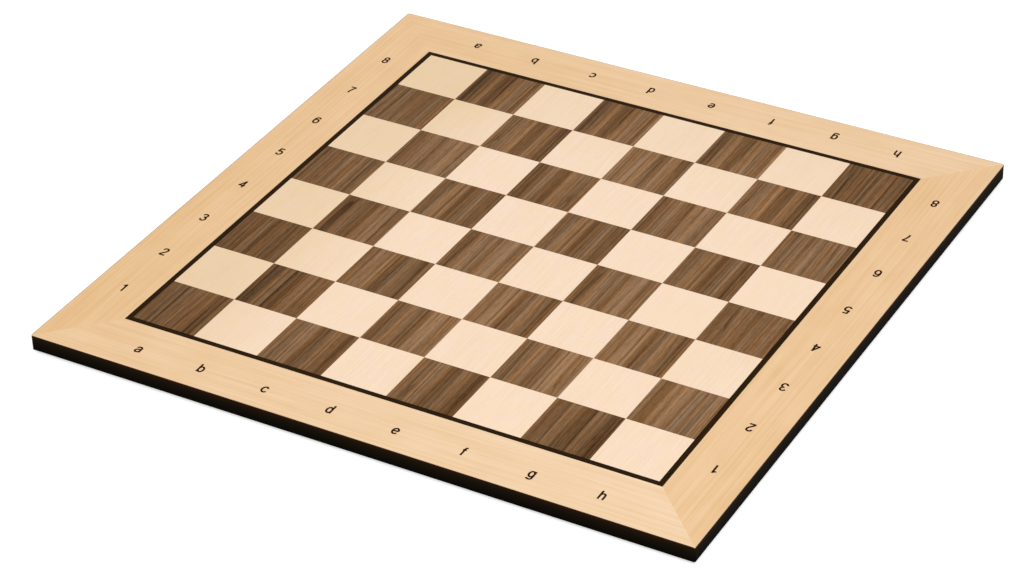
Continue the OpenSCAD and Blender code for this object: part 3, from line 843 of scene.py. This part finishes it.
def glyph_strokes():
    """Pen lines of each sign in a plain upright alphabet, 10 units tall from the base line."""
    ring = oval((2.6, 3.70), (2.02, 3.12))
    return {
        "a": [spline([(0.9, 5.35), (1.42, 6.4), (2.88, 6.82), (4.3, 6.35), (4.72, 5.1),
                      (4.72, 3.0), (4.72, 1.4), (5.1, 0.45)]),
              spline([(4.72, 4.2), (3.04, 3.95), (1.26, 3.45), (0.68, 2.15), (1.2, 0.95),
                      (2.46, 0.58), (3.93, 1.1), (4.72, 2.4)])],
        "b": [[(0.57, 0.0), (0.57, 10.0)], ring],
        "c": [oval((3.0, 3.70), (2.32, 3.12), 34, 326)],
        "d": [[(4.58, 0.0), (4.58, 10.0)], ring],
        "e": [[(0.69, 3.85), (5.2, 3.85)], oval((2.93, 3.70), (2.24, 3.12), 3, 324)],
        "f": [spline([(1.7, 0.0), (1.7, 4.0), (1.7, 7.9), (2.08, 9.1), (3.3, 9.4)]),
              [(0.25, 6.85), (3.2, 6.85)]],
        "g": [ring, spline([(4.6, 7.35), (4.6, 3.5), (4.6, -0.3), (4.1, -1.75), (2.6, -2.2),
                            (1.1, -1.75), (0.72, -0.95)])],
        "h": [[(0.57, 0.0), (0.57, 10.0)],
              spline([(0.57, 4.3), (1.12, 6.1), (2.54, 6.82), (3.88, 6.2), (4.25, 4.6), (4.25, 2.0),
                      (4.25, 0.0)])],
        "1": [[(2.35, 0.0), (2.35, 9.7)], spline([(2.35, 9.35), (1.65, 8.2), (0.0, 7.35)])],
        "2": [spline([(0.73, 7.1), (1.21, 8.6), (2.77, 9.22), (4.32, 8.5), (4.7, 7.0), (3.88, 5.1),
                      (2.23, 3.3), (0.92, 1.6), (0.58, 0.6)]), [(0.1, 0.6), (5.1, 0.6)]],
        "3": [spline([(0.75, 7.5), (1.35, 8.75), (2.75, 9.22), (4.25, 8.6), (4.6, 7.2), (3.9, 5.75),
                      (2.1, 5.3)]),
              spline([(2.1, 5.3), (4.1, 4.85), (4.9, 2.95), (4.2, 1.15), (2.65, 0.58), (1.15, 1.15),
                      (0.6, 2.5)])],
        "4": [[(4.1, 0.0), (4.1, 9.8)], [(4.1, 9.3), (0.68, 2.95)], [(-0.15, 2.85), (5.7, 2.85)]],
        "5": [[(4.9, 9.2), (1.55, 9.2), (1.0, 4.9)],
              spline([(1.0, 4.95), (2.7, 5.95), (4.4, 5.2), (4.9, 3.3), (4.2, 1.25), (2.6, 0.58),
                      (1.15, 1.1), (0.6, 2.3)])],
        "6": [spline([(4.75, 7.6), (4.2, 8.8), (2.95, 9.22), (1.4, 8.3), (0.75, 6.2), (0.62, 3.6)]),
              oval((2.8, 3.45), (2.14, 2.87))],
        "7": [[(0.25, 9.1), (5.15, 9.1)],
              spline([(5.0, 9.1), (3.3, 6.2), (2.25, 3.1), (1.85, 0.0)])],
        "8": [oval((2.8, 7.15), (1.83, 2.07)), oval((2.8, 2.86), (2.08, 2.28))],
    }


def ring_sides(line, width):
    """The outer and inner outline of a closed line, half the width to each side of it."""
    span = np.roll(line, -1, axis=0) - np.roll(line, 1, axis=0)
    span /= np.linalg.norm(span, axis=1, keepdims=True)
    side = np.stack([span[:, 1], -span[:, 0]], -1)
    return line + side * width / 2, line - side * width / 2


def sign_mesh(strokes, width, low, high):
    """One flat sign: each pen line becomes a thin slab, and the slabs are joined into one.

    A closed line gives a ring whose section is carried round between its sides.
    """
    slabs = []
    for line in strokes:
        line = np.asarray(line, float)
        if len(line) > 3 and np.allclose(line[0], line[-1]):
            outer, inner = ring_sides(line[:-1], width)
            rings = np.stack([raised(side, height) for side, height in (
                (outer, low), (outer, high), (inner, high), (inner, low), (outer, low))])
            part = rings, [grid_faces(*rings.shape[:2], wrap=True)]
        else:
            part = plate(stroke_outline(line, width), low, high)
        slabs.append(linked("slab", solid_mesh("slab", [part], SIGN_MERGE)))
    whole = slabs[0]
    if len(slabs) > 1:
        boolean(whole, slabs[1:], "UNION")
    mesh = whole.data
    bpy.data.objects.remove(whole)
    return mesh


def placed(mesh, spot, turn, scale, level):
    """The points and faces of a sign: centred, scaled, turned by degrees and laid at a spot."""
    x, y, z = mesh_points(mesh).astype(float).T
    angle = math.radians(turn)
    x, y = (x - (x.min() + x.max()) / 2) * scale, y * scale
    flat = np.stack([spot[0] + x * math.cos(angle) - y * math.sin(angle),
                     spot[1] + x * math.sin(angle) + y * math.cos(angle), level + z], -1)
    return flat, [[list(face.vertices)] for face in mesh.polygons]


# Rows of signs: the signs, how far out they stand, the share of the squares' pitch that
# they keep, their shift along the row, and their turn in degrees
SIGN_ROWS = {
    "front": ("abcdefgh", -255.9 * MM, 0.996, 0.37 * MM, 0),
    "rear": ("abcdefgh", 254.3 * MM, 0.9963, 0.1 * MM, 180),
    "left": ("12345678", -248.6 * MM, 0.9983, -0.49 * MM, 0),
    "right": ("12345678", 247.6 * MM, 0.9978, 5.8 * MM, 180),
}


# --------------------------------------------------------------- operators

class BoardMaker:
    """Shared by the operators below."""
    bl_options = {"REGISTER"}

    @property
    def sizes(self):
        return bpy.context.scene.board_sizes

    @property
    def colours(self):
        return bpy.context.scene.board_colours


class BOARD_OT_squares(BoardMaker, bpy.types.Operator):
    """Give the sixty-four squares their walnut and maple veneers, and blacken the inlaid line"""
    bl_idname = "board.squares"
    bl_label = "Squares"

    def execute(self, context):
        colours = self.colours
        cover([f"rank_{rank}_walnut_squares" for rank in RANKS], walnut_finish(colours))
        cover([f"rank_{rank}_maple_squares" for rank in RANKS], maple_finish(colours))
        cover([f"inlay_line_{side}" for side in SIDES], line_finish(colours))
        return {"FINISHED"}


class BOARD_OT_border(BoardMaker, bpy.types.Operator):
    """Lay the four mitred sides of the maple border, with a soft upper arris"""
    bl_idname = "board.border"
    bl_label = "Border"

    def execute(self, context):
        soft = self.sizes.arris
        width = HALF_BOARD - HALF_LINE
        profile = np.concatenate([
            [(width, Z_SKIN), (width, Z_TOP), (width / 2, Z_TOP), (soft * 1.4, Z_TOP)],
            arc((soft, Z_TOP - soft), soft, 90, 180), [(0.0, Z_SKIN)]])
        for side in SIDES:
            piece = add_piece("border_maple_" + side, [edge_strip(side, profile)],
                              border_finish(self.colours, side))
            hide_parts("border_veneer_" + side)
        return {"FINISHED"}


class BOARD_OT_lippings(BoardMaker, bpy.types.Operator):
    """Lay the lacquered lippings, with a soft lower arris and the rebate for the port bezel"""
    bl_idname = "board.lippings"
    bl_label = "Lacquered edges"

    def execute(self, context):
        soft = self.sizes.lower_arris
        width = HALF_BOARD - RAIL_OUT
        profile = np.concatenate([
            [(width, Z_BASE), (width, Z_SKIN), (0.0, Z_SKIN), (0.0, Z_BASE + soft * 1.3)],
            arc((soft, Z_BASE + soft), soft, 180, 270), [(soft * 1.4, Z_BASE)]])
        material = lacquer_finish(self.colours)
        for side in SIDES:
            piece = add_piece("lacquered_lipping_" + side, [edge_strip(side, profile)], material)
            if side == "rear":
                boolean(piece, [self.rebate(), self.window()], "DIFFERENCE")
                piece.data.set_sharp_from_angle(angle=SMOOTH_BELOW)
            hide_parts("edge_lipping_" + side)
        return {"FINISHED"}

    def rebate(self):
        """The bezel's outline, run through the outer face."""
        low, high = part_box("port_bezel")
        return upright_block((low.x - BEZEL_GAP, low.z - BEZEL_GAP),
                             (high.x + BEZEL_GAP, high.z + BEZEL_GAP),
                             BEZEL_CORNER, low.y, high.y + 1 * MM)

    def window(self):
        """The way through the lipping behind the bezel."""
        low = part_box("bottom_cover")[1].z
        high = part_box("playing_panel")[0].z
        return upright_block((-WINDOW_HALF, low), (WINDOW_HALF, high), 0.0,
                             RAIL_OUT - 1 * MM, HALF_BOARD)


class BOARD_OT_coordinates(BoardMaker, bpy.types.Operator):
    """Print the letters a to h and the digits 1 to 8 on the border, facing both players"""
    bl_idname = "board.coordinates"
    bl_label = "Coordinates"

    def execute(self, context):
        scale = self.sizes.letter / SIGN_TALL
        width = self.sizes.stroke / scale
        signs = {sign: sign_mesh(strokes, width, SIGN_SINK, self.sizes.ink)
                 for sign, strokes in glyph_strokes().items()}
        places = (np.arange(COUNT) + 0.5) * SQUARE - HALF_FIELD
        material = ink_finish(self.colours)
        lift = 3.0 * MM - self.sizes.letter * 0.49
        for side, (row, out, pitch, shift, turn) in SIGN_ROWS.items():
            along = places * pitch + shift
            if side == "left":
                spots = [(out, spot + lift) for spot in along]
            elif side == "right":
                spots = [(out, spot - lift) for spot in along]
            else:
                spots = [(spot, out) for spot in along]
            parts = [placed(signs[sign], spot, turn, scale, Z_TOP)
                     for sign, spot in zip(row, spots)]
            piece = add_piece("coordinates_" + side, parts, material)
        return {"FINISHED"}


class BOARD_OT_underside(BoardMaker, bpy.types.Operator):
    """Finish the rails, cover, screws and feet"""
    bl_idname = "board.underside"
    bl_label = "Underside"

    def execute(self, context):
        rails = [f"frame_rail_{side}" for side in SIDES]
        cover(rails + ["playing_panel", "long_rib", "short_ribs"], fibreboard_finish())
        cover(["bottom_cover"], painted_finish("black_cover"))
        self.feet()
        self.screws()
        return {"FINISHED"}

    def feet(self):
        """Each foot is a turned pad with a rounded lower edge and a shallow dish."""
        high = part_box("rubber_feet")[1]
        radius, chamfer, soft = 7.0 * MM, 0.3 * MM, self.sizes.foot_edge
        at = high.x - radius
        profile = np.concatenate([
            [(0.0, high.z), (radius - chamfer, high.z), (radius, high.z - chamfer)],
            arc((radius - soft, soft), soft, 0, -90),
            [(radius * 0.62, 0.0), (radius * 0.56, 0.15 * MM),
             (radius * 0.3, 0.3 * MM), (0.0, 0.33 * MM)]])
        parts = [turned(profile, (x * at, y * at, 0.0), 56)
                 for x, y in ((-1, -1), (1, -1), (0, 0), (-1, 1), (1, 1))]
        piece = add_piece("turned_feet", parts, painted_finish("foot_rubber"))
        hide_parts("rubber_feet")

    def screws(self):
        """Each screw has a countersunk head with a cross drive, a shank and a point."""
        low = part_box("cover_screws")[0].z
        parts = [cross_screw((x, y, low)) for x, y in screw_places("cover_screws")]
        piece = add_piece("cross_head_screws", parts,
                          metal_finish("black_steel", tone(52, 52, 55), 0.42))
        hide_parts("cover_screws")


def screw_places(node):
    """The middles of a node's separate round solids, seen from above."""
    left, places = mesh_points(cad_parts[node].data)[:, :2], []
    apart = 9 * MM
    while len(left):
        near = np.linalg.norm(left - left[0], axis=1) < apart
        group = left[near]
        places.append(tuple((group.min(0) + group.max(0)) / 2))
        left = left[~near]
    return places


def cross_screw(place):
    """A countersunk screw, head down.

    The head's face is a polar grid (share of the radius, angle). Its cross
    drive is deep x clip((arm_half - aside) / slope) x clip((arm_long - out) /
    end_slope), each clip from 0 to 1, where aside and out are the lesser and
    the greater of |x| and |y|. The body is a profile of (radius, height)
    carried round.
    """
    around = 48
    head, shank, countersink, long = 2.8 * MM, 1.4 * MM, 1.6 * MM, 7.4 * MM
    arm_half, arm_long, deep = 0.5 * MM, 1.6 * MM, 0.9 * MM
    slope, end_slope, rim, edge = 0.16 * MM, 0.3 * MM, 0.06 * MM, 0.14 * MM
    point, tip, blunt = 1.2 * MM, 0.35 * MM, 0.1 * MM
    share = np.concatenate([[0.0], np.linspace(0.08, 0.62, 9), [0.8, 0.96, 1.0]])
    angle = np.linspace(0, 2 * math.pi, around, endpoint=False)
    x = head * share[:, None] * np.cos(angle)
    y = head * share[:, None] * np.sin(angle)
    aside = np.minimum(np.abs(x), np.abs(y))
    out = np.maximum(np.abs(x), np.abs(y))
    arm = (np.clip((arm_half - aside) / slope, 0, 1)
           * np.clip((arm_long - out) / end_slope, 0, 1))
    face = np.stack([x, y, arm * deep], -1)
    face[-1, :, 2] = rim
    profile = [(head, edge), (shank, countersink), (shank, long - point),
               (tip, long - blunt), (0.0, long)]
    body = [np.stack([r * np.cos(angle), r * np.sin(angle), np.full(around, h)], -1)
            for r, h in profile]
    rings = np.concatenate([face, body]) + np.asarray(place, float)
    return rings, [grid_faces(len(rings), around, wrap=True)]


class BOARD_OT_ports(BoardMaker, bpy.types.Operator):
    """Finish the bezel, socket, power button and status light in the rear edge"""
    bl_idname = "board.ports"
    bl_label = "Ports"

    def execute(self, context):
        low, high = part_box("usb_socket")
        z_port = (low.z + high.z) / 2
        softened("port_bezel", painted_finish("bezel_plastic"), 0.2 * MM)
        softened("usb_socket", socket_finish(z_port), 0.05 * MM)
        softened("power_button", painted_finish("button_plastic"), 0.3 * MM,
                 "power_button", 3)
        softened("power_switch", painted_finish("switch_plastic"), 0.15 * MM)
        softened("status_lamp", painted_finish("lamp_white"), 0.15 * MM)
        softened("switch_plunger", painted_finish("plunger_ivory"), 0.1 * MM,
                 "power_button")
        softened("light_guide", guide_finish(), 0.25 * MM, segments=3)
        self.power_sign()
        return {"FINISHED"}

    def power_sign(self):
        """The usual sign for on and off, printed on the button: an open ring with a bar."""
        low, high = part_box("power_button")
        radius, stroke, ink = 0.62, 0.2, 0.03 * MM
        ring = arc((0.0, 0.0), radius, 125, 415, 32)
        bar = [(0.0, 0.15), (0.0, 0.85)]
        mesh = sign_mesh([ring, bar], stroke, SIGN_SINK, ink)
        flat, faces = placed(mesh, (0.0, 0.0), 0, MM, 0.0)
        middle = (low.x + high.x) / 2, (low.z + high.z) / 2
        points = np.stack([middle[0] - flat[:, 0], high.y + flat[:, 2],
                           middle[1] + flat[:, 1]], -1)
        piece = add_piece("power_sign", [(points, faces)], painted_finish("power_sign_ink"),
                          "power_button")


class BOARD_OT_electronics(BoardMaker, bpy.types.Operator):
    """Finish the sensor boards, controller, cables and battery inside the board"""
    bl_idname = "board.electronics"
    bl_label = "Electronics"

    def execute(self, context):
        quarters = [f"sensor_board_{y}_{x}" for y in ("front", "rear") for x in ("left", "right")]
        cover(quarters + ["controller_board"], circuit_finish())
        chip = painted_finish("chip_black")
        cover(["magnetic_sensors"], chip)
        softened("decoder_chips", chip, 0.15 * MM)
        softened("processor", chip, 0.12 * MM)
        softened("cable_sockets", painted_finish("ivory_plastic"), 0.2 * MM)
        film = banded_finish("flat_cable", tone(222, 222, 224), tone(168, 168, 174),
                             1.0 * MM, 0, 0.35)
        cover(["flat_cables"], film)
        cover(["board_screws"], metal_finish("zinc_steel", tone(196, 198, 202), 0.32))
        cover(["foam_pads"], foam_finish())
        can = metal_finish("shield_can", tone(190, 192, 196), 0.3, 900.0)
        softened("wireless_module", can, 0.3 * MM)
        softened("battery", foil_finish(), 1.2 * MM, segments=4)
        lead = banded_finish("lead_plastic", tone(176, 30, 22), tone(40, 30, 30),
                             5.0 * MM, 1, 0.4)
        softened("battery_lead", lead, 0.15 * MM)
        return {"FINISHED"}


class BOARD_OT_stage(BoardMaker, bpy.types.Operator):
    """Set the floor, the light and the camera"""
    bl_idname = "board.stage"
    bl_label = "Stage"

    eye: bpy.props.FloatVectorProperty(
        name="Camera", description="Where the camera stands", subtype="TRANSLATION", size=3,
        default=(1.0199, -1.7959, 1.3604))
    target: bpy.props.FloatVectorProperty(
        name="Target", description="What the camera looks at", subtype="TRANSLATION", size=3,
        default=(0.0114, -0.0577, 0.0150))
    roll: bpy.props.FloatProperty(
        name="Roll", description="Turn of the camera about its own axis", subtype="ANGLE",
        default=math.radians(-1.688))
    lens: bpy.props.FloatProperty(
        name="Lens", description="Focal length on a 36 mm wide sensor", default=113.93)

    def execute(self, context):
        self.camera(context)
        self.floor()
        self.world(context)
        self.lamp("key_light", (1.1, -1.5, 2.3), 2.2, 31.0)
        self.lamp("sheen_light", (-1.25, 2.15, 1.75), 1.2, 8.0)
        context.scene.view_settings.view_transform = "Standard"
        return {"FINISHED"}

    def camera(self, context):
        """Looks from the eye to the target, then rolls: right = flat right cos r + up sin r."""
        ahead = (Vector(self.target) - Vector(self.eye)).normalized()
        flat = ahead.cross(Vector((0, 0, 1))).normalized()
        above = flat.cross(ahead)
        right = flat * math.cos(self.roll) + above * math.sin(self.roll)
        up = right.cross(ahead)
        data = bpy.data.cameras.new("camera")
        data.sensor_width, data.lens = 36.0, self.lens
        data.clip_start, data.clip_end = 0.05, 60.0
        eye = linked("camera", data)
        turn = Matrix((right, up, -ahead)).transposed()
        eye.matrix_world = Matrix.Translation(self.eye) @ turn.to_4x4()
        context.scene.camera = eye

    def floor(self):
        """A pale floor that is white where it is seen and keeps the board's shadow.

        It is clear from below, and for rays off matt surfaces, so that it
        throws no light of its own onto the board.
        """
        half, lines, level = 4.0, 9, -0.2 * MM
        reach = np.linspace(-half, half, lines)
        x, y = np.meshgrid(reach, reach, indexing="ij")
        points = np.stack([x, y, np.full_like(x, level)], -1).reshape(-1, 3)
        mesh = bpy.data.meshes.new("floor")
        mesh.from_pydata(points, [], grid_faces(lines, lines)[:, ::-1].tolist())
        finish = Finish("pale_floor", (0.62, 0.62, 0.62), 0.9, gloss=0.0)
        matt = Value(finish, finish.shader.outputs[0])
        glow = finish.node("ShaderNodeEmission", inputs={
            "Color": (1.0, 1.0, 1.0), "Strength": 0.62})
        lit = finish.node("ShaderNodeAddShader", inputs={0: matt, 1: glow})
        mixed = finish.node("ShaderNodeMixShader", inputs={0: finish.seen(), 1: matt, 2: lit})
        below = finish.node("ShaderNodeNewGeometry", output="Backfacing")
        bounced = finish.node("ShaderNodeLightPath", output="Is Diffuse Ray")
        clear = finish.node("ShaderNodeBsdfTransparent")
        whole = finish.node("ShaderNodeMixShader", inputs={
            0: below.math("MAXIMUM", bounced), 1: mixed, 2: clear})
        finish.feed(finish.tree.nodes["Material Output"].inputs["Surface"], whole)
        mesh.materials.append(finish.material)
        plane = linked("floor", mesh)

    def world(self, context):
        """Soft light from all round; white where it is seen."""
        world = bpy.data.worlds.new("studio")
        world.use_nodes = True
        nodes = Nodes(world.node_tree)
        level = nodes.node("ShaderNodeMapRange", inputs={
            "Value": nodes.seen(), "To Min": 0.66, "To Max": 1.0})
        background = nodes.tree.nodes["Background"]
        nodes.feed(background.inputs["Color"], (1.0, 1.0, 1.0))
        nodes.feed(background.inputs["Strength"], level)
        context.scene.world = world

    def lamp(self, name, place, size, power):
        """A round lamp that is aimed at the middle of the board."""
        data = bpy.data.lights.new(name, "AREA")
        data.shape, data.size, data.energy = "DISK", size, power
        lamp = linked(name, data)
        lamp.location = place
        lamp.rotation_euler = (-Vector(place)).to_track_quat("-Z", "Y").to_euler()


class BOARD_PT_panel(bpy.types.Panel):
    """Lists the board's pieces, sizes and colours"""
    bl_idname = "BOARD_PT_panel"
    bl_label = "Chess board"
    bl_space_type = "VIEW_3D"
    bl_region_type = "UI"
    bl_category = "Chess board"

    def draw(self, context):
        for group in (context.scene.board_sizes, context.scene.board_colours):
            for key in group.__annotations__:
                self.layout.prop(group, key)
        for operator in OPERATORS:
            self.layout.operator(operator.bl_idname)


OPERATORS = (BOARD_OT_squares, BOARD_OT_border, BOARD_OT_lippings, BOARD_OT_coordinates,
             BOARD_OT_underside, BOARD_OT_ports, BOARD_OT_electronics, BOARD_OT_stage)
CLASSES = (BoardSizes, BoardColours, *OPERATORS, BOARD_PT_panel)


def register():
    for made in CLASSES:
        bpy.utils.register_class(made)
    bpy.types.Scene.board_sizes = bpy.props.PointerProperty(type=BoardSizes)
    bpy.types.Scene.board_colours = bpy.props.PointerProperty(type=BoardColours)


def unregister():
    del bpy.types.Scene.board_colours
    del bpy.types.Scene.board_sizes
    for made in reversed(CLASSES):
        bpy.utils.unregister_class(made)


def main():
    register()
    for operator in (bpy.ops.board.squares, bpy.ops.board.border, bpy.ops.board.lippings,
                     bpy.ops.board.coordinates, bpy.ops.board.underside, bpy.ops.board.ports,
                     bpy.ops.board.electronics, bpy.ops.board.stage):
        operator()


if __name__ == "__main__":
    main()
